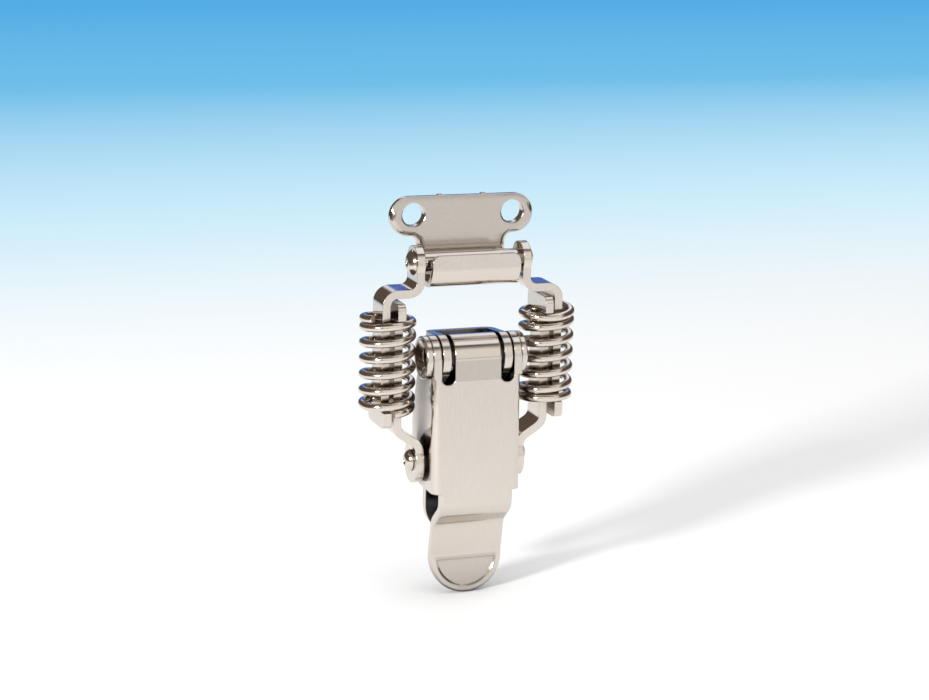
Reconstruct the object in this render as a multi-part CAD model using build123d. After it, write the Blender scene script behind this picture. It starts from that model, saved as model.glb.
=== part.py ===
from build123d import *
import math
import os

# Spring draw latch, closed on its keeper. Millimetres, +Z up, wall plane at Y = 0,
# front towards -Y. The origin is midway between the two base screws, on the wall plane.

# Sheets and clearances
sheet = 1.5                # base, lever and arms
keeper_sheet = 1.9
side_gap = 0.35            # base ear to lever flange
arm_gap = 0.9              # between the two strips of one arm
seat_gap = 0.1             # spring end to T-head
running_gap = 0.05         # radial, turning rivet in its hole
face_gap = 0.1             # rivet head to the sheet that turns under it

# Screw holes
screw_hole = 4.2
base_screw_pitch = 21.0
keeper_screw_pitch = 19.1

# Base plate
base_width = 13.3
tail_width = 12.0          # round lower end, below the ears
pivot_above_screw = 8.9    # pivot axis above the upper base screw
pivot_stand = 7.6          # pivot axis in front of the wall
base_top = 3.3             # top edge of the back wall above the pivot axis
ear_radius = 4.0           # round the pivot, on base and lever
ear_foot = 10.5            # lower end of the ears below the pivot axis
base_bend = 0.5            # inside radius of the ear folds

# Pivot rivet
tube_radius = 2.5
tube_wall = 0.6
flare_radius = 3.95
flare_mouth = 3.15
flare_height = 1.1
flare_round = 0.35

# Lever
tongue_width = 8.8
tongue_wrap = 215.0        # degrees of curl round the pivot, from the face
slot_drop = 4.4            # the slots beside the tongue end this far below the pivot axis
face_lean = 2.5            # degrees, the face stands further out at its foot
fold_radius = 1.5          # outside radius of the folds between face and flanges
flange_drop = 24.6         # lower end of the flanges below the pivot axis
flange_back = 0.35         # flanges to the wall, where they are deepest
flange_belly = 12.0        # where they are deepest, below the pivot axis
foot_rim = 4.6             # rounding of the flanges' lower back corner
knee_drop = 3.15           # the face bends back this far below the flanges
knee_radius = 3.2
step_back = 3.9            # depth of the steep step
step_drop = 3.4            # height of the steep step
heel_radius = 3.0
tab_tuck = 1.2             # the upper half of the tab slopes back this far
tab_kick = 0.6             # the lower half comes forward again
tab_upper = 6.9
tab_lower = 7.3
tab_bend = 6.0
tab_roll = 0.5             # rolled front edge of the tab
dish_rim = 1.1             # flat rim round the thumb dish of the tab
dish_depth = 0.3
dish_slope = 50.0          # degrees, border of the dish

# Arms
arm_drop = 19.7            # arm rivet below the pivot axis
pull_stand = 5.6           # arms, springs and hook pin in front of the wall
draw_length = 36.95        # arm rivet to hook pin
arm_width = 5.6
head_width = 9.0           # T-heads that hold the springs
head_height = 3.0
head_corner = 1.2
shoulder_drop = 4.45       # top of the shoulder below the hook pin
shoulder_bend = 1.4        # inside radius of the shoulder folds
head_clear = 0.8           # lower arm's T-head below the shoulder
hook_ear_radius = 3.1
arm_ear_radius = 3.4
arm_ear_tail = 0.75        # the ear runs this much further below the arm rivet
crank_foot = 3.4           # the crank starts this far above the arm rivet
crank_rise = 2.8
crank_bend = 1.6
ear_collar = 0.55          # lever flange to arm ear

# Springs
spring_axis = 15.4         # either side of the middle, between the two strips of one arm
coil_outer = 10.4
wire = 1.5
spring_length = 16.65      # from T-head to T-head, over the wire
coil_turns = 6.85
end_turns = 0.38           # each wire end runs on this far past the T-head
seat_turns = 0.46          # the wire lies level on the T-head for this much of a turn
right_start = 105.0        # degrees, lower wire end of the right spring
left_start = 270.0         # degrees, lower wire end of the left spring
turn_points = 12           # points of the wire's line in one turn

# Arm rivets and hook pin
rivet_radius = 1.4
rivet_head_radius = 2.0
rivet_head_height = 1.15
upset_height = 0.75        # spread end of an arm rivet inside the lever
upset_slope = 0.3
pin_radius = 1.75
pin_head_radius = 2.35
pin_head_height = 1.05
dimple_radius = 0.8
dimple_depth = 0.45

# Keeper
keeper_rise = 7.95         # screw holes above the hook pin
lobe_radius = 3.65
lobe_out = 0.6             # middle of a lobe outside its screw hole
lobe_down = 0.45           # middle of a lobe below its screw hole
keeper_neck = 16.9
neck_fillet = 1.5
hook_ear_gap = 1.0         # keeper hook to the ears beside it
trough_gap = 0.8           # hook pin to the floor of the hook
trough_front = 7.6         # the floor runs this far in front of the wall
hook_front = 8.85          # middle of the lip in front of the wall
lip_knee = 1.15            # bend of the lip below the hook pin
lip_rise = 1.7             # lip above the hook pin
lip_tuck = 0.2             # lip leans back at its top
hook_bend = 1.0            # inside radius at the back of the hook
toe_bend = 0.6             # inside radius at the front of the floor
lip_bend = 0.4             # inside radius of the lip's knee
lip_corner = 1.5
edge_roll = 1.1            # rolled front edge of the stamping
hole_roll = 0.4            # rolled front edge of the screw holes
nib_pitch = 8.4            # shearing nibs on the top edge
nib_width = 0.9
nib_height = 0.2

# Places that follow from the sizes
upper_screw = base_screw_pitch / 2
lower_screw = -base_screw_pitch / 2
pivot_rise = upper_screw + pivot_above_screw
rivet_rise = pivot_rise - arm_drop
pin_rise = rivet_rise + draw_length
base_half = base_width / 2
flange_inner = base_half + side_gap
flange_outer = flange_inner + sheet
tongue_half = tongue_width / 2
slot_radius = (flange_inner - tongue_half) / 2
slot_top = pivot_rise - slot_drop + slot_radius
flange_end = pivot_rise - flange_drop
tab_half = flange_outer - fold_radius
knee_rise = flange_end - knee_drop
heel_rise = knee_rise - step_drop
bend_rise = heel_rise - tab_upper
tab_tip = bend_rise - tab_lower
arm_ear_inner = flange_outer + ear_collar
arm_ear_outer = arm_ear_inner + sheet
lower_strip_middle = spring_axis - arm_gap / 2 - sheet / 2
upper_strip_middle = spring_axis + arm_gap / 2 + sheet / 2
hook_ear_inner = keeper_neck / 2 + hook_ear_gap
hook_ear_outer = hook_ear_inner + sheet
shoulder_top = pin_rise - shoulder_drop
lower_head_top = shoulder_top - sheet - head_clear
spring_top = lower_head_top - head_height - seat_gap
spring_foot = spring_top - spring_length
upper_head_top = spring_foot - seat_gap
upper_head_foot = upper_head_top - head_height
coil_radius = (coil_outer - wire) / 2
coil_pitch = (spring_length - wire) / (coil_turns - 2 * (end_turns + seat_turns))
keeper_screw_rise = pin_rise + keeper_rise
lobe_rise = keeper_screw_rise - lobe_down
keeper_top = lobe_rise + lobe_radius
trough_floor = pin_rise - pin_radius - trough_gap
reach = 2 * draw_length    # half depth of the cutting outlines, past every piece

# Sketch planes: SIDE has its x away from the wall and its y up, FRONT has x to the right and y up
SIDE = Plane(origin=(0, 0, 0), x_dir=(0, -1, 0), z_dir=(-1, 0, 0))
FRONT = Plane.XZ


def side_slab(outline, inner, outer):
    """Plate of a side outline, between two distances to the right of the middle."""
    slab = extrude(SIDE * outline, outer - inner, dir=(1, 0, 0))
    return Pos(inner, 0, 0) * slab


def through_sideways(outline):
    """Side outline extruded across the whole part, to cut or to keep."""
    return extrude(SIDE * outline, reach, both=True)


def through_forward(outline):
    """Front outline extruded through the whole depth, to cut or to keep."""
    return extrude(FRONT * outline, reach, both=True)


def across(radius, x_start, x_end, stand, rise):
    """Round bar along X."""
    bar = Plane(origin=(x_start, -stand, rise), z_dir=(1, 0, 0)) * Circle(radius)
    return extrude(bar, x_end - x_start)


def turned(face, stand, rise):
    """Half section, x along the axis and y outwards, turned about an axis along X."""
    return Pos(0, -stand, rise) * revolve(face, Axis.X)


def folded_strip(points, bends, thickness):
    """Flat section of a sheet that follows a line of points with rounded folds."""
    return trace(FilletPolyline(*points, radius=bends), thickness)


def upright(width, low, high):
    """Front or side rectangle on the middle line, between two heights."""
    return Pos(0, (low + high) / 2) * Rectangle(width, high - low)


def screw_bores(half_pitch_x, half_pitch_z, rise):
    """Pair of screw holes through a plate on the wall."""
    bores = [Pos(side * half_pitch_x, rise + side * half_pitch_z) * Circle(screw_hole / 2) for side in (-1, 1)]
    return through_forward(Sketch() + bores)


def base_plate():
    """U-shaped base: back wall with a round lower end and two ears for the pivot."""
    middle = base_half - sheet / 2
    front = pivot_stand + ear_radius
    foot = pivot_rise - ear_foot
    top = pivot_rise + base_top
    folds = [(-middle, front), (-middle, sheet / 2), (middle, sheet / 2), (middle, front)]
    section = folded_strip(folds, base_bend + sheet / 2, sheet)
    channel = extrude(mirror(section, Plane.XZ), top + ear_radius - foot, dir=(0, 0, 1))
    channel = Pos(0, 0, foot) * channel
    wall_side = Pos(sheet / 2, 0) * upright(sheet, foot, top)
    ear_round = Pos(pivot_stand, pivot_rise) * Circle(ear_radius)
    ear_side = make_hull([*wall_side.edges(), *ear_round.edges()])
    ears = channel & through_sideways(ear_side)
    flat = upright(tail_width, lower_screw, foot + sheet)
    flat += Pos(0, lower_screw) * Circle(tail_width / 2)
    wall = extrude(FRONT * flat, sheet, dir=(0, -1, 0))
    pivot_hole = across(tube_radius, -base_half, base_half, pivot_stand, pivot_rise)
    return ears + wall - pivot_hole - screw_bores(0, base_screw_pitch / 2, 0)


def face_line(offset, rise):
    """How far a line along the face stands in front of the wall, at a height; offset is from the pivot axis."""
    lean = math.radians(face_lean)
    return pivot_stand + offset / math.cos(lean) + (pivot_rise - rise) * math.tan(lean)


def tab_line():
    """Middle line of the stepped tab in the side view: knee, heel, bend and tip."""
    knee = (face_line(ear_radius - sheet / 2, knee_rise), knee_rise)
    heel = (knee[0] - step_back, heel_rise)
    bend = (heel[0] - tab_tuck, bend_rise)
    return knee, heel, bend, (bend[0] + tab_kick, tab_tip)


def lever_section():
    """Side section of the lever sheet: curl round the pivot, face, steep step and tab."""
    curl = CenterArc((pivot_stand, pivot_rise), ear_radius - sheet / 2, face_lean, tongue_wrap)
    knee, heel, bend, tip = tab_line()
    past = 1 + sheet / tab_lower
    end = (bend[0] + (tip[0] - bend[0]) * past, bend[1] + (tip[1] - bend[1]) * past)
    face = FilletPolyline(curl @ 0, knee, heel, bend, end, radius=[knee_radius, heel_radius, tab_bend])
    return trace([curl, face], sheet)


def thumb_dish():
    """Half-round dish pressed into the front of the tab's lower half, with a sloping border."""
    bend, tip = tab_line()[2:]
    kick = math.atan2(tip[0] - bend[0], bend[1] - tip[1])
    out = (sheet / 2 * math.cos(kick), sheet / 2 * math.sin(kick))
    front = Plane(
        origin=(0, -(bend[0] + out[0]), bend[1] + out[1]),
        x_dir=(1, 0, 0),
        z_dir=(0, -math.cos(kick), math.sin(kick)),
    )
    middle = Pos(0, tab_tip + tab_half - bend_rise)
    half = middle * Circle(tab_half - dish_rim) & Pos(0, -tab_half) * Rectangle(2 * tab_half, 2 * tab_half)
    return extrude(front * half, -dish_depth, taper=dish_slope)


def lever_strip():
    """Tongue, face and tab, one strip of sheet with a rolled edge round the tab."""
    tab_centre = tab_tip + tab_half
    outline = upright(tongue_width, slot_top, pivot_rise + 2 * ear_radius)
    outline += upright(2 * tab_half, tab_centre, slot_top)
    outline += Pos(0, tab_centre) * Circle(tab_half)
    strip = extrude(SIDE * lever_section(), flange_outer, both=True) & through_forward(outline)
    rim = strip.edges().sort_by(Axis.Z)[0:2].sort_by(Axis.Y)[0]
    return fillet(rim, tab_roll) - thumb_dish()


def flange_side():
    """Side outline of a lever flange: deep in the middle, round at the pivot and at the foot."""
    front_top = (face_line(ear_radius, pivot_rise), pivot_rise)
    front_foot = (face_line(ear_radius, flange_end), flange_end)
    back_foot = (pull_stand - (rivet_rise - flange_end), flange_end)
    belly = (flange_back, pivot_rise - flange_belly)
    back_top = (pivot_stand - ear_radius, pivot_rise)
    outline = make_face(Polyline(front_top, front_foot, back_foot, belly, back_top, close=True))
    foot_corner = outline.vertices().sort_by(Axis.Y)[0:2].sort_by(Axis.X)[0]
    outline = fillet(foot_corner, foot_rim)
    return outline + Pos(pivot_stand, pivot_rise) * Circle(ear_radius)


def lever_channel(side):
    """Face and flanges below the slots, folded with round corners."""
    lean = math.radians(face_lean)
    below = Pos(0, slot_top - reach) * Rectangle(2 * reach, 2 * reach)
    block = extrude(SIDE * (side & below), flange_outer, both=True)
    corners = block.edges().filter_by(Axis((0, 0, 0), (0, math.sin(lean), math.cos(lean))))
    block = fillet(corners, fold_radius)
    back = ear_radius - sheet
    inside = make_face(
        Polyline(
            (face_line(back, slot_top + sheet), slot_top + sheet),
            (face_line(back, flange_end - sheet), flange_end - sheet),
            (-sheet, flange_end - sheet),
            (-sheet, slot_top + sheet),
            close=True,
        )
    )
    block -= extrude(SIDE * inside, flange_inner, both=True)
    for sign in (-1, 1):
        inner = flange_inner if sign > 0 else -flange_outer
        block += side_slab(side - below, inner, inner + sheet)
    return block


def lever():
    """Folded lever with holes for the pivot and the arm rivets."""
    body = lever_channel(flange_side()) + lever_strip()
    for side in (-1, 1):
        slot = Pos(side * (tongue_half + slot_radius), slot_top) * Circle(slot_radius)
        body -= through_forward(slot)
    pivot_hole = across(tube_radius + running_gap, -reach, reach, pivot_stand, pivot_rise)
    rivet_hole = across(rivet_radius, -reach, reach, pull_stand, rivet_rise)
    return body - pivot_hole - rivet_hole


def pivot_rivet():
    """Tube with both ends rolled outwards over the lever flanges."""
    bore = tube_radius - tube_wall
    face = flange_outer + face_gap
    end = face + flare_height
    half = make_face(
        Polyline(
            (0, bore),
            (face, bore),
            (end, flare_mouth),
            (end, flare_radius),
            (face, flare_radius),
            (face, tube_radius),
            (0, tube_radius),
            close=True,
        )
    )
    rolled = half.vertices().group_by(Axis.X)[-1]
    right = turned(fillet(rolled, flare_round), pivot_stand, pivot_rise)
    return right + mirror(right, Plane.YZ)


def headed_rivet(points, end, radius, height, stand, rise):
    """Turned rivet with a domed head at its outer end and a dimple in the middle of the head."""
    half_way = math.sqrt(0.5)
    shank = Polyline(*points, (end, radius))
    dome = ThreePointArc((end, radius), (end + height * half_way, radius * half_way), (end + height, 0))
    axis = Line((end + height, 0), points[0])
    body = turned(make_face([*shank.edges(), dome, axis]), stand, rise)
    dimple = Pos(end + height + dimple_radius - dimple_depth, -stand, rise) * Sphere(dimple_radius)
    return body - dimple


def right_arm_rivet():
    """Rivet from inside the lever flange, with a collar that spaces the arm, to its outer head."""
    inner_end = flange_inner - upset_height
    points = [
        (inner_end, 0),
        (inner_end, rivet_head_radius - upset_slope),
        (flange_inner, rivet_head_radius),
        (flange_inner, rivet_radius),
        (flange_outer, rivet_radius),
        (flange_outer, rivet_head_radius),
        (arm_ear_inner - face_gap, rivet_head_radius),
        (arm_ear_inner - face_gap, rivet_radius),
        (arm_ear_outer + face_gap, rivet_radius),
    ]
    end = arm_ear_outer + face_gap
    return headed_rivet(points, end, rivet_head_radius, rivet_head_height, pull_stand, rivet_rise)


def hook_pin():
    """Cross pin between the ears of the upper arms, riveted over at both ends."""
    points = [(0, 0), (0, pin_radius), (hook_ear_outer, pin_radius)]
    right = headed_rivet(points, hook_ear_outer, pin_head_radius, pin_head_height, pull_stand, pin_rise)
    return right + mirror(right, Plane.YZ)


def right_upper_arm():
    """Strip that hangs from the hook pin: ear, shoulder, leg and a T-head under the spring."""
    ear_middle = hook_ear_inner + sheet / 2
    shoulder_middle = shoulder_top - sheet / 2
    path = [
        (ear_middle, pin_rise + hook_ear_radius),
        (ear_middle, shoulder_middle),
        (upper_strip_middle, shoulder_middle),
        (upper_strip_middle, upper_head_foot),
    ]
    strip = through_forward(folded_strip(path, shoulder_bend + sheet / 2, sheet))
    head = upright(head_width, upper_head_foot, upper_head_top)
    head = fillet(head.vertices().group_by(Axis.Y)[0], head_corner)
    outline = upright(arm_width, upper_head_top, pin_rise) + head
    outline += Pos(0, pin_rise) * Circle(hook_ear_radius)
    pin_hole = across(pin_radius, 0, reach, pull_stand, pin_rise)
    return strip & through_sideways(Pos(pull_stand, 0) * outline) - pin_hole


def right_lower_arm():
    """Strip that hangs on the arm rivet: ear, crank, leg and a T-head over the spring."""
    ear_middle = (arm_ear_inner + arm_ear_outer) / 2
    ear_end = rivet_rise - arm_ear_tail
    path = [
        (ear_middle, ear_end - arm_ear_radius),
        (ear_middle, rivet_rise + crank_foot),
        (lower_strip_middle, rivet_rise + crank_foot + crank_rise),
        (lower_strip_middle, lower_head_top),
    ]
    strip = through_forward(folded_strip(path, crank_bend + sheet / 2, sheet))
    low = lower_head_top - head_height
    head = upright(head_width, low, lower_head_top)
    head = fillet(head.vertices().group_by(Axis.Y)[-1], head_corner)
    outline = upright(arm_width, rivet_rise, low) + head
    outline += upright(2 * arm_ear_radius, ear_end, rivet_rise)
    outline += [Pos(0, rise) * Circle(arm_ear_radius) for rise in (ear_end, rivet_rise)]
    rivet_hole = across(rivet_radius + running_gap, 0, reach, pull_stand, rivet_rise)
    return strip & through_sideways(Pos(pull_stand, 0) * outline) - rivet_hole


def coil_rise(turn):
    """Height of the wire's line after some turns; half a turn lies level at each T-head."""
    level_start = min(max(turn - end_turns, 0), seat_turns)
    level_end = min(max(turn - coil_turns + end_turns + seat_turns, 0), seat_turns)
    return coil_pitch * (turn - end_turns - level_start - level_end)


def spring(side, start):
    """Compression spring round both strips of one arm, wound right-handed on both sides."""
    count = round(coil_turns * turn_points)
    line = []
    for i in range(count + 1):
        turn = coil_turns * i / count
        angle = math.radians(start + 360 * turn)
        line.append((coil_radius * math.cos(angle), coil_radius * math.sin(angle), coil_rise(turn)))
    path = Spline(*line)
    section = Plane(origin=path @ 0, z_dir=path % 0) * Circle(wire / 2)
    coil = sweep(section, path=path, is_frenet=True)
    return Pos(side * spring_axis, -pull_stand, spring_foot + wire / 2) * coil


def keeper_outline(low):
    """Front outline of the keeper's flat plate: two screw lobes, the band between them and the neck."""
    lobe_half = keeper_screw_pitch / 2 + lobe_out
    lobes = [Pos(x, lobe_rise) * Circle(lobe_radius) for x in (-lobe_half, lobe_half)]
    band = upright(2 * lobe_half, lobe_rise, keeper_top)
    outline = Sketch() + [*lobes, band, upright(keeper_neck, low, lobe_rise)]
    corners = [v for v in outline.vertices() if abs(abs(v.X) - keeper_neck / 2) < sheet / 100 and v.Y > pin_rise]
    return fillet(corners, neck_fillet)


def is_front_bore(edge):
    """Whether an edge is the front rim of a keeper screw hole."""
    near = sheet / 100
    return abs(edge.radius - screw_hole / 2) < near and abs(edge.arc_center.Y + keeper_sheet) < near


def keeper():
    """Catch plate: screw lobes and neck, and a folded hook that holds the pin."""
    middle = keeper_sheet / 2
    floor_middle = trough_floor - middle
    low = floor_middle - keeper_sheet
    lip_top = pin_rise + lip_rise
    path = [
        (middle, keeper_top),
        (middle, floor_middle),
        (trough_front, floor_middle),
        (hook_front, pin_rise - lip_knee),
        (hook_front - lip_tuck, lip_top + lip_corner),
    ]
    bends = [middle + bend for bend in (hook_bend, toe_bend, lip_bend)]
    lip = upright(keeper_neck, low, lip_top)
    lip = fillet(lip.vertices().group_by(Axis.Y)[-1], lip_corner)
    keep = extrude(FRONT * keeper_outline(low), pull_stand, dir=(0, -1, 0))
    keep += Pos(0, -pull_stand, 0) * extrude(FRONT * lip, reach, dir=(0, -1, 0))
    body = through_sideways(folded_strip(path, bends, keeper_sheet)) & keep
    plate_front = body.faces().filter_by(Axis.Y).sort_by(SortBy.AREA)[-2:].sort_by(Axis.Y)[0]
    rim = plate_front.outer_wire().edges().sort_by(Axis.Z)[1:]
    body = fillet(rim, edge_roll)
    for side in (-1, 1):
        nib = upright(nib_width, keeper_top - nib_height, keeper_top + nib_height)
        body += extrude(FRONT * (Pos(side * nib_pitch / 2, 0) * nib), keeper_sheet - edge_roll, dir=(0, -1, 0))
    body -= screw_bores(keeper_screw_pitch / 2, 0, keeper_screw_rise)
    rims = [edge for edge in body.edges().filter_by(GeomType.CIRCLE) if is_front_bore(edge)]
    return fillet(rims, hole_roll)


def main():
    """Build every piece and write one file for each."""
    pieces = {
        "base_plate": base_plate(),
        "pivot_rivet": pivot_rivet(),
        "lever": lever(),
        "hook_pin": hook_pin(),
        "keeper": keeper(),
        "left_spring": spring(-1, left_start),
        "right_spring": spring(1, right_start),
    }
    for name, make in (
        ("arm_rivet", right_arm_rivet),
        ("lower_arm", right_lower_arm),
        ("upper_arm", right_upper_arm),
    ):
        piece = make()
        pieces["right_" + name] = piece
        pieces["left_" + name] = mirror(piece, Plane.YZ)
    os.makedirs("parts", exist_ok=True)
    for name, piece in pieces.items():
        export_step(piece, f"parts/{name}.step")


main()
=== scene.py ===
import math

import bpy
from bpy.props import FloatProperty, FloatVectorProperty, PointerProperty
from bpy.types import NodeSocket, Operator, Panel, PropertyGroup
from mathutils import Matrix, Vector


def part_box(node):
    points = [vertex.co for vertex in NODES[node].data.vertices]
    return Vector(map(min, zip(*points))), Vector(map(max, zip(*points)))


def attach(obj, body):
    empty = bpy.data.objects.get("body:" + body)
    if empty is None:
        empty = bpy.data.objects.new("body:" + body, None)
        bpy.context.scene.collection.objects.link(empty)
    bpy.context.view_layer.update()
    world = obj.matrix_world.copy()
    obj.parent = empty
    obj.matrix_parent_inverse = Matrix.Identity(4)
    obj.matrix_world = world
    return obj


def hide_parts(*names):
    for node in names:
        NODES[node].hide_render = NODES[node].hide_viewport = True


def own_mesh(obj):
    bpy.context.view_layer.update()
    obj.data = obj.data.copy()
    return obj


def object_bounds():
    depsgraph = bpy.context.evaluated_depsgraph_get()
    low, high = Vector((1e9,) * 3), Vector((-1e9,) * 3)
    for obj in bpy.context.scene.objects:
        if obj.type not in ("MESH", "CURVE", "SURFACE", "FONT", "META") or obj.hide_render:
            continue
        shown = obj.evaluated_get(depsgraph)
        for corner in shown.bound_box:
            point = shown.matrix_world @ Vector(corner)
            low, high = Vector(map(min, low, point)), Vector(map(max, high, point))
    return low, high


bl_info = {
    "name": "Draw latch looks",
    "version": (1, 0, 0),
    "blender": (4, 5, 0),
    "location": "View3D > Sidebar > Latch",
    "description": "Plated finishes, stage and camera for a spring draw latch",
    "category": "Object",
}

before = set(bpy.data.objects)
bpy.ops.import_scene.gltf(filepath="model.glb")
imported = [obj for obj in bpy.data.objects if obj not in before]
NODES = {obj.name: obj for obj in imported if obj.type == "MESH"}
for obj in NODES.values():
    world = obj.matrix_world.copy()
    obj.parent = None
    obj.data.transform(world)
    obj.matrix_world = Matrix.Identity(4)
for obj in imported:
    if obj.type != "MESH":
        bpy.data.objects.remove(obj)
CAD_LOW, CAD_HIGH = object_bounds()
PHOTO_WIDTH = 929

PLATE_GROUP = "latch plated surface"
TURNED_GROUP = "latch turned rings"
FILM_SHADE_GROUP = "latch film and painted shade"
ZONE_GROUP = "latch zone"
FLAT_GROUP = "latch flattened normal"
PLATE_NODE = "plate"

ARMS = ("left_upper_arm", "right_upper_arm", "left_lower_arm", "right_lower_arm")
SPRINGS = ("left_spring", "right_spring")
RIVETS = ("left_arm_rivet", "right_arm_rivet", "hook_pin")

# Sockets of the mix node, whose inputs share their names.
MIX_FACTOR = 0
MIX_VECTORS = (4, 5)
MIX_VECTOR_OUT = 1
MIX_COLOURS = (6, 7)
MIX_COLOUR_OUT = 2

# Grain of each finish, in repeats per metre along X, Y and Z.
LEVER_GRAIN = (9000.0, 9000.0, 260.0)
BASE_GRAIN = (7000.0, 7000.0, 300.0)
KEEPER_GRAIN = (2500.0, 2500.0, 5000.0)
ARM_GRAIN = (6000.0, 1500.0, 700.0)
WIRE_GRAIN = (700.0, 700.0, 9000.0)
TURNED_GRAIN = (3000.0, 3000.0, 3000.0)

# Plated surface: the part of a noise that is used, and what it turns into.
NOISE_MIDDLE = (0.3, 0.7)
GRAIN_TONE = (0.955, 1.03)
GRAIN_HEIGHT = 0.00002
CLOUD_SCALE = 260.0
CLOUD_POLISH = (-0.035, 0.05)
SATIN_DULL = 0.03
RING_STRENGTH = 0.25
RING_HEIGHT = 0.00003
RAY_SAMPLES = 6

# Crevices: how far the metal is looked at, and the openness that gives all or none of the dull
# film and painted shade; the second reach paints shade nearly black deep in the folds.
FILM_SHADE_REACH = 0.0022
FILM_SHADE_OPENNESS = (0.75, 0.15)
PAINTED_SHADE_REACH = 0.014
PAINTED_SHADE_OPENNESS = (0.62, 0.2)
PAINTED_SHADE_BLACK = 0.07

# Patches on the front: Y of the normal on a side and on a front.
SIDE_TO_FRONT = (0.0, -0.2)
AHEAD = (0.0, -1.0, 0.0)

# Patches of the lever, from its box and from the pivot's axis, and of the keeper, from its top.
TAB_INSET = 0.0015
DISH_RIM = 0.0008
DISH_HEIGHT = 0.0073
DISH_TOP_BELOW = 0.0009
DISH_TOP_ABOVE = 0.0006
TONGUE_MIDDLE = 0.0019
TONGUE_DROP = 0.00385
TONGUE_REACH = 0.0055
KEEPER_FACE = 0.0098
KEEPER_ROLL = 0.0031

# Floor paper, in metres: where its ends, its far part and its near part begin and are complete.
FLOOR_SIZE = 8.0
WHITE = (1.0, 1.0, 1.0, 1.0)
PAPER_LEFT = (-0.17, -0.21)
PAPER_RIGHT = (0.45, 0.60)
PAPER_FAR_LEFT = (-0.02, -0.12)
PAPER_FAR_BACK = (0.33, 0.5)
PAPER_DEPTH = (0.0, 1.2)
PAPER_FAR = (0.08, 0.34)
PAPER_NEAR = (-0.10, -0.26)

# Mirrored room, as parts of a unit direction: ends of the card and of the backdrop.
CARD_LEFT = (-0.55, -0.70)
CARD_RIGHT = (0.62, 0.75)
BACK_LEFT = (0.15, 0.0)
BACK_RIGHT = (0.48, 0.60)
FRONT_TO_BACK = (-0.36, -0.32)

# Lamps, from the middle of the latch, and the camera's fixed values.
KEY_WAY = Vector((-0.833, -0.460, 0.309))
KEY_DISTANCE = 0.8
KEY_SIZE = 0.10
TOP_PLACE = Vector((0.12, 0.0, 0.9))
TOP_SIZE = 0.9
SENSOR_WIDTH = 36.0
CLIP_START = 0.01
CLIP_END = 50.0


class LatchFinish(PropertyGroup):
    """Colours and surface values of the plated metal."""

    nickel: FloatVectorProperty(
        name="Plating", description="Colour of the bright plating", subtype="COLOR",
        size=4, min=0.0, max=1.0, default=(0.685, 0.625, 0.567, 1.0),
    )
    wire: FloatVectorProperty(
        name="Wire", description="Colour of the plated spring wire", subtype="COLOR",
        size=4, min=0.0, max=1.0, default=(0.70, 0.63, 0.56, 1.0),
    )
    # Colour of the dull film in corners; the same colour is painted shade there and, darkened to
    # near black, in the deep folds.
    shade: FloatVectorProperty(
        name="Crevice", description="Colour of the dull film in corners", subtype="COLOR",
        size=4, min=0.0, max=1.0, default=(0.17, 0.12, 0.085, 1.0),
    )
    edge: FloatProperty(
        name="Edge round", description="Radius of the tumbled edges of the stampings",
        subtype="DISTANCE", unit="LENGTH", min=0.0, max=0.001, default=0.00018,
    )
    soft_edge: FloatProperty(
        name="Soft edge", description="Radius of the pressed edges of the lever",
        subtype="DISTANCE", unit="LENGTH", min=0.0, max=0.001, default=0.0004,
    )


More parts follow.
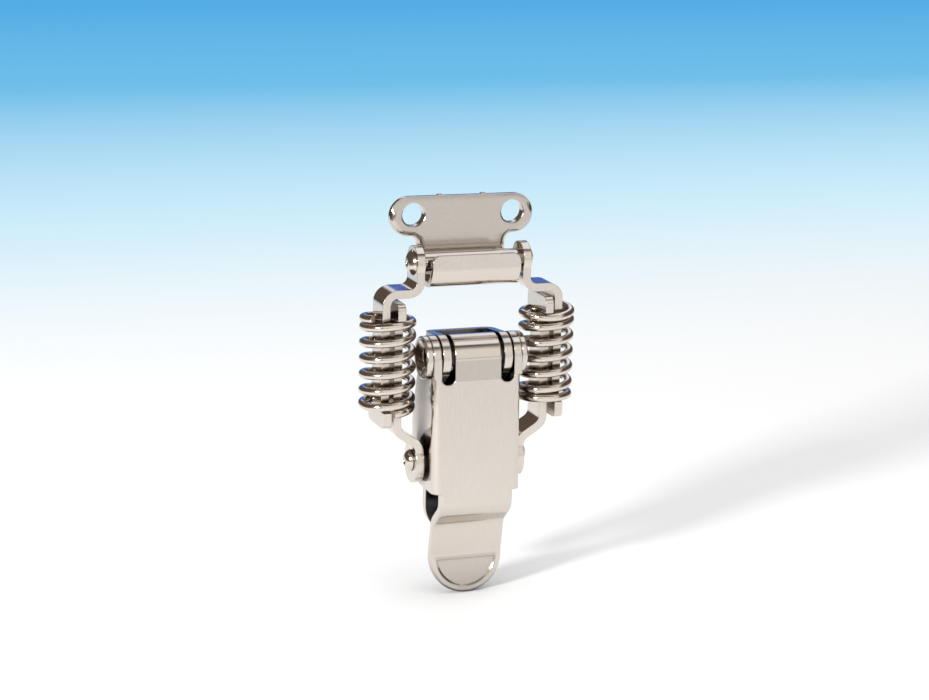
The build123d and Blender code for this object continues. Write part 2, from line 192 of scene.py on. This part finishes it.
class LatchStage(PropertyGroup):
    """Floor, light and camera."""

    floor: FloatVectorProperty(
        name="Floor", description="Colour of the floor paper", subtype="COLOR",
        size=4, min=0.0, max=1.0, default=(0.94, 0.94, 0.94, 1.0),
    )
    mist: FloatVectorProperty(
        name="Near backdrop", description="Colour of the paper close behind the latch",
        subtype="COLOR", size=4, min=0.0, max=1.0, default=(0.58, 0.83, 0.955, 1.0),
    )
    blue: FloatVectorProperty(
        name="Middle backdrop", description="Colour of the paper further behind",
        subtype="COLOR", size=4, min=0.0, max=1.0, default=(0.165, 0.52, 0.82, 1.0),
    )
    sky: FloatVectorProperty(
        name="Far backdrop", description="Colour of the paper far behind the latch",
        subtype="COLOR", size=4, min=0.0, max=1.0, default=(0.085, 0.42, 0.78, 1.0),
    )
    lift: FloatProperty(
        name="Paper glow", description="Share of plain white in the paper round the latch",
        subtype="FACTOR", min=0.0, max=1.0, default=0.06,
    )
    soft: FloatVectorProperty(
        name="Room light", description="Colour of the even light from all round",
        subtype="COLOR", size=4, min=0.0, max=1.0, default=(0.50, 0.50, 0.50, 1.0),
    )
    card: FloatVectorProperty(
        name="Card", description="Colour of the white card in front of the latch",
        subtype="COLOR", size=4, min=0.0, max=1.0, default=(1.0, 0.975, 0.93, 1.0),
    )
    room: FloatVectorProperty(
        name="Dark room", description="Colour of the room above and beside the latch",
        subtype="COLOR", size=4, min=0.0, max=1.0, default=(0.125, 0.092, 0.07, 1.0),
    )
    deep: FloatVectorProperty(
        name="Low backdrop", description="Colour low behind the latch, above the paper",
        subtype="COLOR", size=4, min=0.0, max=1.0, default=(0.05, 0.13, 0.52, 1.0),
    )
    haze: FloatVectorProperty(
        name="High backdrop", description="Colour high behind the latch", subtype="COLOR",
        size=4, min=0.0, max=2.0, default=(1.12, 1.14, 1.22, 1.0),
    )
    key_power: FloatProperty(
        name="Key lamp", description="Power of the low lamp on the left", unit="POWER",
        min=0.0, default=6.2,
    )
    top_power: FloatProperty(
        name="Top lamp", description="Power of the large soft lamp above", unit="POWER",
        min=0.0, default=4.2,
    )
    azimuth: FloatProperty(
        name="Camera azimuth", description="Turn of the camera to the latch's left",
        subtype="ANGLE", unit="ROTATION", default=math.radians(20.623),
    )
    elevation: FloatProperty(
        name="Camera elevation", description="Height of the camera above the horizon",
        subtype="ANGLE", unit="ROTATION", default=math.radians(13.413),
    )
    roll: FloatProperty(
        name="Camera roll", description="Tilt of the camera about its own axis",
        subtype="ANGLE", unit="ROTATION", default=math.radians(1.481),
    )
    distance: FloatProperty(
        name="Camera distance", description="From the camera to its target",
        subtype="DISTANCE", unit="LENGTH", default=0.419,
    )
    focal: FloatProperty(
        name="Focal length", description="In pixels of the picture's width", default=2294.8,
    )
    target: FloatVectorProperty(
        name="Camera target", description="Point in the middle of the picture",
        subtype="TRANSLATION", unit="LENGTH", size=3, default=(-0.00068, -0.0060, 0.01997),
    )


def new_group(name, inputs, outputs):
    """Empty shader node group with named sockets, and its two end nodes."""
    group = bpy.data.node_groups.new(name, "ShaderNodeTree")
    for label, kind, value in inputs:
        socket = group.interface.new_socket(label, in_out="INPUT", socket_type=kind)
        socket.default_value = value
    for label, kind in outputs:
        group.interface.new_socket(label, in_out="OUTPUT", socket_type=kind)
    return group, group.nodes.new("NodeGroupInput"), group.nodes.new("NodeGroupOutput")


def add(tree, kind, values=None, **settings):
    """Node in a tree, with its settings and its inputs, each a socket or a plain value."""
    node = tree.nodes.new(kind)
    for key, value in settings.items():
        setattr(node, key, value)
    for key, value in (values or {}).items():
        if isinstance(value, NodeSocket):
            tree.links.new(value, node.inputs[key])
        else:
            node.inputs[key].default_value = value
    return node


def math_node(tree, operation, first, second):
    """Math node on two values."""
    return add(tree, "ShaderNodeMath", {0: first, 1: second}, operation=operation).outputs[0]


def inverse(tree, value):
    """One less the value."""
    return math_node(tree, "SUBTRACT", 1.0, value)


def vector_node(tree, operation, values):
    """Vector math node on these inputs."""
    return add(tree, "ShaderNodeVectorMath", values, operation=operation).outputs


def span(tree, value, limits, ends=(0.0, 1.0)):
    """Value that runs between two ends within its limits, and stays at them beyond."""
    node = add(tree, "ShaderNodeMapRange", {
        "Value": value,
        "From Min": limits[0], "From Max": limits[1],
        "To Min": ends[0], "To Max": ends[1],
    })
    return node.outputs[0]


def mix_colours(tree, factor, first, second):
    """Colour mix of two sockets."""
    values = {MIX_FACTOR: factor, MIX_COLOURS[0]: first, MIX_COLOURS[1]: second}
    return add(tree, "ShaderNodeMix", values, data_type="RGBA").outputs[MIX_COLOUR_OUT]


def plain_colour(tree, colour):
    """One colour as a socket."""
    node = add(tree, "ShaderNodeRGB")
    node.outputs[0].default_value = colour
    return node.outputs[0]


def ramp_of(tree, value, stops):
    """Colour ramp with these stops, each a place from 0 to 1 and a colour."""
    node = add(tree, "ShaderNodeValToRGB", {0: value})
    elements = node.color_ramp.elements
    while len(elements) < len(stops):
        elements.new(0.5)
    for element, (position, colour) in zip(elements, stops):
        element.position = position
        element.color = colour
    return node.outputs[0]


def distance_along(tree, place, centre, axes):
    """Distance of a place from a centre, counted along these axes only."""
    offset = vector_node(tree, "SUBTRACT", {0: place, 1: centre})[0]
    flat = vector_node(tree, "MULTIPLY", {0: offset, 1: axes})[0]
    return vector_node(tree, "LENGTH", {0: flat})["Value"]


def plate_group():
    """Plated sheet: fine grain along one direction, cloudy polish, tumbled edges, and painted
    shade where a zone darkens it.
    """
    group, start, end = new_group(
        PLATE_GROUP,
        [
            ("Metal", "NodeSocketColor", (0.7, 0.7, 0.7, 1.0)),
            ("Grain Scale", "NodeSocketVector", (1.0, 1.0, 1.0)),
            ("Grain Depth", "NodeSocketFloat", 0.1),
            ("Polish", "NodeSocketFloat", 0.15),
            ("Edge Round", "NodeSocketFloat", 0.0002),
            ("Satin And Shade", "NodeSocketFloat", 0.0),
            ("Shade Tone", "NodeSocketFloat", 0.85),
        ],
        [
            ("Color", "NodeSocketColor"),
            ("Roughness", "NodeSocketFloat"),
            ("Normal", "NodeSocketVector"),
        ],
    )
    link = group.links.new
    given = start.outputs
    place = add(group, "ShaderNodeTexCoord").outputs["Object"]
    stretch = vector_node(group, "MULTIPLY", {0: place, 1: given["Grain Scale"]})[0]
    grain = add(group, "ShaderNodeTexNoise", {
        "Vector": stretch, "Scale": 1.0, "Detail": 3.0, "Roughness": 0.6,
    }).outputs[0]
    cloud = add(group, "ShaderNodeTexNoise", {
        "Vector": place, "Scale": CLOUD_SCALE, "Detail": 4.0, "Roughness": 0.55,
    }).outputs[0]

    # Painted shade: a zone darkens the colour by one less its tone.
    shade_dim = math_node(group, "MULTIPLY", inverse(group, given["Shade Tone"]), given["Satin And Shade"])
    grain_tone = span(group, grain, NOISE_MIDDLE, GRAIN_TONE)
    tone = math_node(group, "MULTIPLY", grain_tone, inverse(group, shade_dim))
    tint = vector_node(group, "SCALE", {0: given["Metal"], "Scale": tone})[0]
    link(tint, end.inputs["Color"])

    cloudy = span(group, cloud, NOISE_MIDDLE, CLOUD_POLISH)
    polish = math_node(group, "ADD", given["Polish"], cloudy)
    dull = math_node(group, "MULTIPLY", given["Satin And Shade"], SATIN_DULL)
    link(math_node(group, "ADD", polish, dull), end.inputs["Roughness"])

    edge = add(group, "ShaderNodeBevel", {"Radius": given["Edge Round"]}, samples=RAY_SAMPLES)
    bump = add(group, "ShaderNodeBump", {
        "Strength": given["Grain Depth"], "Distance": GRAIN_HEIGHT,
        "Height": grain, "Normal": edge.outputs[0],
    })
    link(bump.outputs[0], end.inputs["Normal"])


def turned_group():
    """Rings left by turning and heading, round an axis along X."""
    group, start, end = new_group(
        TURNED_GROUP,
        [
            ("Centre", "NodeSocketVector", (0.0, 0.0, 0.0)),
            ("Ring Width", "NodeSocketFloat", 0.00015),
        ],
        [("Rings", "NodeSocketFloat")],
    )
    place = add(group, "ShaderNodeTexCoord").outputs["Object"]
    radius = distance_along(group, place, start.outputs["Centre"], (0.0, 1.0, 1.0))
    count = math_node(group, "DIVIDE", radius, start.outputs["Ring Width"])
    rings = add(
        group, "ShaderNodeTexNoise", {"W": count, "Scale": 1.0, "Detail": 2.0},
        noise_dimensions="1D",
    )
    group.links.new(rings.outputs[0], end.inputs["Rings"])


def film_shade_group():
    """Dull brown film, partly painted shade, where metal lies close to other metal, and painted
    shade, nearly black, deep in the folds.
    """
    group, start, end = new_group(
        FILM_SHADE_GROUP,
        [
            ("Metal", "NodeSocketColor", (0.7, 0.7, 0.7, 1.0)),
            ("Film And Shade", "NodeSocketColor", (0.2, 0.15, 0.1, 1.0)),
            ("Amount", "NodeSocketFloat", 0.5),
            ("Painted Shade", "NodeSocketFloat", 0.0),
        ],
        [("Color", "NodeSocketColor")],
    )
    given = start.outputs

    def closeness(reach, openness, share):
        """Share of the film and painted shade, from how closed in the metal is within this reach.
        """
        sight = add(
            group, "ShaderNodeAmbientOcclusion", {"Distance": reach}, samples=RAY_SAMPLES,
        )
        closed = span(group, sight.outputs["AO"], openness)
        return math_node(group, "MULTIPLY", closed, share)

    amount = closeness(FILM_SHADE_REACH, FILM_SHADE_OPENNESS, given["Amount"])
    filmed_and_shaded = mix_colours(group, amount, given["Metal"], given["Film And Shade"])
    painted_shade = closeness(PAINTED_SHADE_REACH, PAINTED_SHADE_OPENNESS, given["Painted Shade"])
    black = vector_node(group, "SCALE", {0: given["Film And Shade"], "Scale": PAINTED_SHADE_BLACK})[0]
    group.links.new(mix_colours(group, painted_shade, filmed_and_shaded, black), end.inputs["Color"])


def zone_group():
    """Mask of a round patch on the front of a piece, between two heights, with soft ends."""
    group, start, end = new_group(
        ZONE_GROUP,
        [
            ("Centre", "NodeSocketVector", (0.0, 0.0, 0.0)),
            ("Radius", "NodeSocketFloat", 1.0),
            ("Low", "NodeSocketFloat", -1.0),
            ("High", "NodeSocketFloat", 1.0),
            ("Soft", "NodeSocketFloat", 0.0005),
        ],
        [("Mask", "NodeSocketFloat")],
    )
    given = start.outputs
    place = add(group, "ShaderNodeTexCoord").outputs["Object"]
    height = add(group, "ShaderNodeSeparateXYZ", {0: place}).outputs["Z"]
    away = distance_along(group, place, given["Centre"], (1.0, 0.0, 1.0))
    within = math_node(group, "SUBTRACT", given["Radius"], away)
    above = math_node(group, "SUBTRACT", height, given["Low"])
    below = math_node(group, "SUBTRACT", given["High"], height)
    nearest = math_node(group, "MINIMUM", math_node(group, "MINIMUM", within, above), below)
    share = add(
        group, "ShaderNodeMath", {0: nearest, 1: given["Soft"]},
        operation="DIVIDE", use_clamp=True,
    )
    surface = add(group, "ShaderNodeNewGeometry")
    facing = add(
        group, "ShaderNodeVectorTransform", {0: surface.outputs["True Normal"]},
        vector_type="NORMAL", convert_from="WORLD", convert_to="OBJECT",
    )
    toward = add(group, "ShaderNodeSeparateXYZ", {0: facing.outputs[0]})
    front = span(group, toward.outputs["Y"], SIDE_TO_FRONT)
    mask = math_node(group, "MULTIPLY", share.outputs[0], front)
    group.links.new(mask, end.inputs["Mask"])


def flat_group():
    """Normal turned part of the way to the front, for edges that are only a little rounded."""
    group, start, end = new_group(
        FLAT_GROUP,
        [
            ("Normal", "NodeSocketVector", (0.0, 0.0, 0.0)),
            ("Amount", "NodeSocketFloat", 0.0),
        ],
        [("Normal", "NodeSocketVector")],
    )
    ahead = add(
        group, "ShaderNodeVectorTransform", {0: AHEAD},
        vector_type="NORMAL", convert_from="OBJECT", convert_to="WORLD",
    )
    values = {
        MIX_FACTOR: start.outputs["Amount"],
        MIX_VECTORS[0]: start.outputs["Normal"],
        MIX_VECTORS[1]: ahead.outputs[0],
    }
    mix = add(group, "ShaderNodeMix", values, data_type="VECTOR")
    unit = vector_node(group, "NORMALIZE", {0: mix.outputs[MIX_VECTOR_OUT]})[0]
    group.links.new(unit, end.inputs["Normal"])


def place_group(tree, name, values):
    """Shared group in a material, with this material's own values."""
    return add(tree, "ShaderNodeGroup", values, node_tree=bpy.data.node_groups[name])


def plated_material(
    name, metal, grain, depth, polish, film_shade=0.6, painted_shade=0.0, edge=None, centre=None,
):
    """Plated metal with its own grain; turned pieces also get rings about their axis."""
    finish = bpy.context.scene.latch_finish
    material = bpy.data.materials.new(name)
    material.use_nodes = True
    tree = material.node_tree
    link = tree.links.new
    shader = tree.nodes["Principled BSDF"]
    shader.inputs["Metallic"].default_value = 1.0
    plate = place_group(tree, PLATE_GROUP, {
        "Metal": metal, "Grain Scale": grain, "Grain Depth": depth, "Polish": polish,
        "Edge Round": edge or finish.edge,
    })
    plate.name = PLATE_NODE
    # Painted shade: the colour is darkened towards the film where metal is closed in, and towards
    # near black deep in the folds.
    film_shade_node = place_group(tree, FILM_SHADE_GROUP, {
        "Metal": plate.outputs["Color"], "Film And Shade": finish.shade, "Amount": film_shade, "Painted Shade": painted_shade,
    })
    link(film_shade_node.outputs["Color"], shader.inputs["Base Color"])
    link(plate.outputs["Roughness"], shader.inputs["Roughness"])
    normal = plate.outputs["Normal"]
    if centre is not None:
        rings = place_group(tree, TURNED_GROUP, {"Centre": centre})
        bump = add(tree, "ShaderNodeBump", {
            "Strength": RING_STRENGTH, "Distance": RING_HEIGHT,
            "Height": rings.outputs["Rings"], "Normal": normal,
        })
        normal = bump.outputs[0]
    link(normal, shader.inputs["Normal"])
    return material


def satin_shade_zones(material, tone, zones):
    """Patches of a plated material that are duller, a satin finish, and painted a shade darker
    than the rest.
    """
    tree = material.node_tree
    plate = tree.nodes[PLATE_NODE]
    masks = [place_group(tree, ZONE_GROUP, zone).outputs["Mask"] for zone in zones]
    mask = masks[0]
    for other in masks[1:]:
        mask = math_node(tree, "MAXIMUM", mask, other)
    tree.links.new(mask, plate.inputs["Satin And Shade"])
    plate.inputs["Shade Tone"].default_value = tone


def flat_zone(material, share, zone):
    """Patch of a plated material where rounded edges look flatter than they are."""
    tree = material.node_tree
    mask = place_group(tree, ZONE_GROUP, zone).outputs["Mask"]
    flat = place_group(tree, FLAT_GROUP, {
        "Normal": tree.nodes[PLATE_NODE].outputs["Normal"],
        "Amount": math_node(tree, "MULTIPLY", mask, share),
    })
    tree.links.new(flat.outputs["Normal"], tree.nodes["Principled BSDF"].inputs["Normal"])


def dress(names, material):
    """One material on each of these CAD nodes."""
    for name in names:
        slots = NODES[name].data.materials
        slots.clear()
        slots.append(material)


def middle_of(name):
    """Middle of a CAD node's box."""
    low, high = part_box(name)
    return (low + high) / 2


class LATCH_OT_lever(Operator):
    """Give the lever its bright plating with fine upright grain"""

    bl_idname = "latch.lever"
    bl_label = "Lever finish"

    def execute(self, context):
        finish = context.scene.latch_finish
        plating = plated_material(
            "lever plating", finish.nickel, LEVER_GRAIN, depth=0.14, polish=0.12,
            painted_shade=1.0, edge=finish.soft_edge,
        )
        low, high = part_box("lever")
        tab_half = (high.x - low.x) / 2 - TAB_INSET
        tab_middle = (0.0, 0.0, low.z + tab_half)
        dish_top = low.z + DISH_HEIGHT
        pivot = middle_of("pivot_rivet").z
        thumb = {
            "Centre": tab_middle, "Radius": tab_half - DISH_RIM, "High": dish_top, "Soft": 0.0003,
        }
        tongue = {
            "Centre": (0.0, 0.0, pivot - TONGUE_MIDDLE), "Radius": TONGUE_REACH,
            "Low": pivot - TONGUE_DROP, "High": pivot, "Soft": 0.0001,
        }
        # Painted shade: the thumb dish and the tongue below the pivot are painted darker for the
        # dimmer reflections they give; the dish is also satin.
        satin_shade_zones(plating, tone=0.84, zones=(thumb, tongue))
        flat_zone(plating, share=0.85, zone={
            "Centre": tab_middle, "Radius": tab_half, "Low": dish_top - DISH_TOP_BELOW,
            "High": dish_top + DISH_TOP_ABOVE, "Soft": 0.0004,
        })
        dress(("lever",), plating)
        return {"FINISHED"}


class LATCH_OT_base(Operator):
    """Give the base plate its plating"""

    bl_idname = "latch.base"
    bl_label = "Base finish"

    def execute(self, context):
        finish = context.scene.latch_finish
        plating = plated_material(
            "base plating", finish.nickel, BASE_GRAIN, depth=0.2, polish=0.2, painted_shade=1.0,
        )
        dress(("base_plate",), plating)
        return {"FINISHED"}


class LATCH_OT_keeper(Operator):
    """Give the keeper its satin plating"""

    bl_idname = "latch.keeper"
    bl_label = "Keeper finish"

    def execute(self, context):
        finish = context.scene.latch_finish
        plating = plated_material(
            "keeper plating", finish.nickel, KEEPER_GRAIN, depth=0.08, polish=0.15, film_shade=0.2,
        )
        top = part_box("keeper")[1].z
        # Painted shade: the keeper's plate above the hook is painted darker for the dimmer
        # reflection it gives, and made satin.
        satin_shade_zones(plating, tone=0.83, zones=[{"Low": top - KEEPER_FACE, "Soft": 0.0004}])
        flat_zone(plating, share=0.92, zone={"Low": top - KEEPER_ROLL, "Soft": 0.0014})
        dress(("keeper",), plating)
        return {"FINISHED"}


class LATCH_OT_arms(Operator):
    """Give the four arms their plating"""

    bl_idname = "latch.arms"
    bl_label = "Arm finish"

    def execute(self, context):
        finish = context.scene.latch_finish
        plating = plated_material(
            "arm plating", finish.nickel, ARM_GRAIN, depth=0.16, polish=0.13,
        )
        dress(ARMS, plating)
        return {"FINISHED"}


class LATCH_OT_springs(Operator):
    """Give both springs their drawn and plated wire, and hang copies of them on the lower links"""

    bl_idname = "latch.springs"
    bl_label = "Spring finish"

    def execute(self, context):
        finish = context.scene.latch_finish
        plating = plated_material(
            "spring plating", finish.wire, WIRE_GRAIN, depth=0.18, polish=0.14, film_shade=0.4,
        )
        dress(SPRINGS, plating)
        for name in SPRINGS:
            spring = bpy.data.objects.new(name + "_wire", NODES[name].data.copy())
            context.scene.collection.objects.link(spring)
            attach(spring, "lower_links")
            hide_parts(name)
            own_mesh(spring)
        return {"FINISHED"}


class LATCH_OT_rivets(Operator):
    """Give the arm rivets, the hook pin and the pivot their turned finish"""

    bl_idname = "latch.rivets"
    bl_label = "Rivet finish"

    def execute(self, context):
        finish = context.scene.latch_finish
        for name in (*RIVETS, "pivot_rivet"):
            plating = plated_material(
                name.replace("_", " ") + " plating", finish.nickel, TURNED_GRAIN,
                depth=0.1, polish=0.16, centre=middle_of(name),
            )
            dress((name,), plating)
        return {"FINISHED"}


def paper_material(stage):
    """Floor paper, white round the latch and blue behind; metal mirrors the room past its ends."""
    material = bpy.data.materials.new("stage paper")
    material.use_nodes = True
    tree = material.node_tree
    link = tree.links.new
    shader = tree.nodes["Principled BSDF"]
    shader.inputs["Roughness"].default_value = 0.9
    shader.inputs["Specular IOR Level"].default_value = 0.1
    place = add(tree, "ShaderNodeTexCoord").outputs["Object"]
    axes = add(tree, "ShaderNodeSeparateXYZ", {0: place}).outputs
    path = add(tree, "ShaderNodeLightPath").outputs

    ends = math_node(
        tree, "MAXIMUM", span(tree, axes["X"], PAPER_LEFT), span(tree, axes["X"], PAPER_RIGHT),
    )
    far_left = math_node(
        tree, "MULTIPLY",
        span(tree, axes["X"], PAPER_FAR_LEFT), span(tree, axes["Y"], PAPER_FAR_BACK),
    )
    past_edge = math_node(tree, "MAXIMUM", ends, far_left)
    mirrored = math_node(tree, "MULTIPLY", past_edge, path["Is Glossy Ray"])
    paper = plain_colour(tree, stage.floor)
    room = plain_colour(tree, stage.room)
    link(mix_colours(tree, mirrored, paper, room), shader.inputs["Base Color"])

    backdrop = ramp_of(
        tree, span(tree, axes["Y"], PAPER_DEPTH),
        [(0.10, WHITE), (0.34, stage.mist), (0.62, stage.blue), (1.0, stage.sky)],
    )
    glow = add(tree, "ShaderNodeEmission", {"Color": backdrop})
    far = math_node(tree, "MAXIMUM", span(tree, axes["Y"], PAPER_FAR), stage.lift)
    near = math_node(tree, "MAXIMUM", far, span(tree, axes["Y"], PAPER_NEAR))
    camera_share = math_node(tree, "MULTIPLY", far, path["Is Camera Ray"])
    glossy_share = math_node(tree, "MULTIPLY", near, path["Is Glossy Ray"])
    seen = math_node(tree, "MAXIMUM", camera_share, glossy_share)
    mix = add(tree, "ShaderNodeMixShader", {
        0: math_node(tree, "MULTIPLY", seen, inverse(tree, mirrored)),
        1: shader.outputs[0],
        2: glow.outputs[0],
    })
    link(mix.outputs[0], tree.nodes["Material Output"].inputs["Surface"])
    return material


def studio_world(stage):
    """Even soft light; metal mirrors a card in front, a dark room round it and blue behind."""
    world = bpy.data.worlds.new("studio")
    world.use_nodes = True
    tree = world.node_tree
    place = add(tree, "ShaderNodeTexCoord").outputs["Generated"]
    axes = add(tree, "ShaderNodeSeparateXYZ", {0: place}).outputs
    room = plain_colour(tree, stage.room)

    def between(left, right, picture):
        """Picture that gives way to the dark room past its left and right ends."""
        ends = math_node(
            tree, "MAXIMUM", span(tree, axes["X"], left), span(tree, axes["X"], right),
        )
        return mix_colours(tree, ends, picture, room)

    card = ramp_of(
        tree, axes["Z"],
        [(0.0, stage.card), (0.62, stage.card), (0.82, stage.room), (1.0, stage.room)],
    )
    backdrop = ramp_of(
        tree, axes["Z"],
        [(0.0, stage.sky), (0.12, stage.deep), (0.27, stage.deep), (0.33, stage.haze)],
    )
    front = between(CARD_LEFT, CARD_RIGHT, card)
    behind = between(BACK_LEFT, BACK_RIGHT, backdrop)
    studio = mix_colours(tree, span(tree, axes["Y"], FRONT_TO_BACK), front, behind)
    path = add(tree, "ShaderNodeLightPath").outputs
    soft = mix_colours(tree, path["Is Glossy Ray"], plain_colour(tree, stage.soft), studio)
    seen = mix_colours(tree, path["Is Camera Ray"], soft, plain_colour(tree, stage.mist))
    tree.links.new(seen, tree.nodes["Background"].inputs["Color"])
    bpy.context.scene.world = world


def soft_lamp(name, place, aim, size, power):
    """Square area lamp that points at a place."""
    lamp = bpy.data.lights.new(name, "AREA")
    lamp.size = size
    lamp.energy = power
    holder = bpy.data.objects.new(name, lamp)
    holder.location = place
    holder.rotation_mode = "QUATERNION"
    holder.rotation_quaternion = (aim - place).to_track_quat("-Z", "Y")
    bpy.context.scene.collection.objects.link(holder)
    return holder


def photo_camera(stage):
    """Camera at the photograph's viewing angle."""
    data = bpy.data.cameras.new("photo camera")
    data.sensor_width = SENSOR_WIDTH
    data.lens = stage.focal / PHOTO_WIDTH * SENSOR_WIDTH
    data.clip_start = CLIP_START
    data.clip_end = CLIP_END
    ahead = Vector((
        math.sin(stage.azimuth) * math.cos(stage.elevation),
        math.cos(stage.azimuth) * math.cos(stage.elevation),
        -math.sin(stage.elevation),
    ))
    level = Vector((math.cos(stage.azimuth), -math.sin(stage.azimuth), 0.0))
    above = level.cross(ahead)
    right = math.cos(stage.roll) * level + math.sin(stage.roll) * above
    up = math.cos(stage.roll) * above - math.sin(stage.roll) * level
    turn = Matrix((right, up, -ahead)).transposed()
    camera = bpy.data.objects.new("photo camera", data)
    camera.rotation_mode = "QUATERNION"
    camera.rotation_quaternion = turn.to_quaternion()
    camera.location = Vector(stage.target) - ahead * stage.distance
    bpy.context.scene.collection.objects.link(camera)
    bpy.context.scene.camera = camera


class LATCH_OT_stage(Operator):
    """Make the floor, the studio light and the camera"""

    bl_idname = "latch.stage"
    bl_label = "Stage"

    def execute(self, context):
        stage = context.scene.latch_stage
        bpy.ops.mesh.primitive_plane_add(size=FLOOR_SIZE, location=(0.0, 0.0, CAD_LOW.z))
        floor = context.object
        floor.name = "floor"
        floor.data.materials.append(paper_material(stage))
        studio_world(stage)
        aim = (CAD_LOW + CAD_HIGH) / 2
        soft_lamp("key lamp", aim + KEY_WAY * KEY_DISTANCE, aim, KEY_SIZE, stage.key_power)
        top = soft_lamp("top lamp", aim + TOP_PLACE, aim, TOP_SIZE, stage.top_power)
        top.visible_glossy = False
        photo_camera(stage)
        context.scene.view_settings.view_transform = "Standard"
        return {"FINISHED"}


class LATCH_PT_panel(Panel):
    """Sidebar panel with the latch's operators and settings"""

    bl_idname = "LATCH_PT_panel"
    bl_label = "Draw latch"
    bl_space_type = "VIEW_3D"
    bl_region_type = "UI"
    bl_category = "Latch"

    def draw(self, context):
        for operator in OPERATORS:
            self.layout.operator(operator.bl_idname)
        for group in (context.scene.latch_finish, context.scene.latch_stage):
            for name in group.__annotations__:
                self.layout.prop(group, name)


OPERATORS = (
    LATCH_OT_lever,
    LATCH_OT_base,
    LATCH_OT_keeper,
    LATCH_OT_arms,
    LATCH_OT_springs,
    LATCH_OT_rivets,
    LATCH_OT_stage,
)
CLASSES = (LatchFinish, LatchStage, *OPERATORS, LATCH_PT_panel)


def register():
    """Register the classes and the scene's settings."""
    for item in CLASSES:
        bpy.utils.register_class(item)
    bpy.types.Scene.latch_finish = PointerProperty(type=LatchFinish)
    bpy.types.Scene.latch_stage = PointerProperty(type=LatchStage)


def unregister():
    """Remove the settings and the classes."""
    del bpy.types.Scene.latch_stage
    del bpy.types.Scene.latch_finish
    for item in reversed(CLASSES):
        bpy.utils.unregister_class(item)


def main():
    """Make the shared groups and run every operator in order."""
    register()
    plate_group()
    turned_group()
    film_shade_group()
    zone_group()
    flat_group()
    bpy.ops.latch.lever()
    bpy.ops.latch.base()
    bpy.ops.latch.keeper()
    bpy.ops.latch.arms()
    bpy.ops.latch.springs()
    bpy.ops.latch.rivets()
    bpy.ops.latch.stage()


if __name__ == "__main__":
    main()
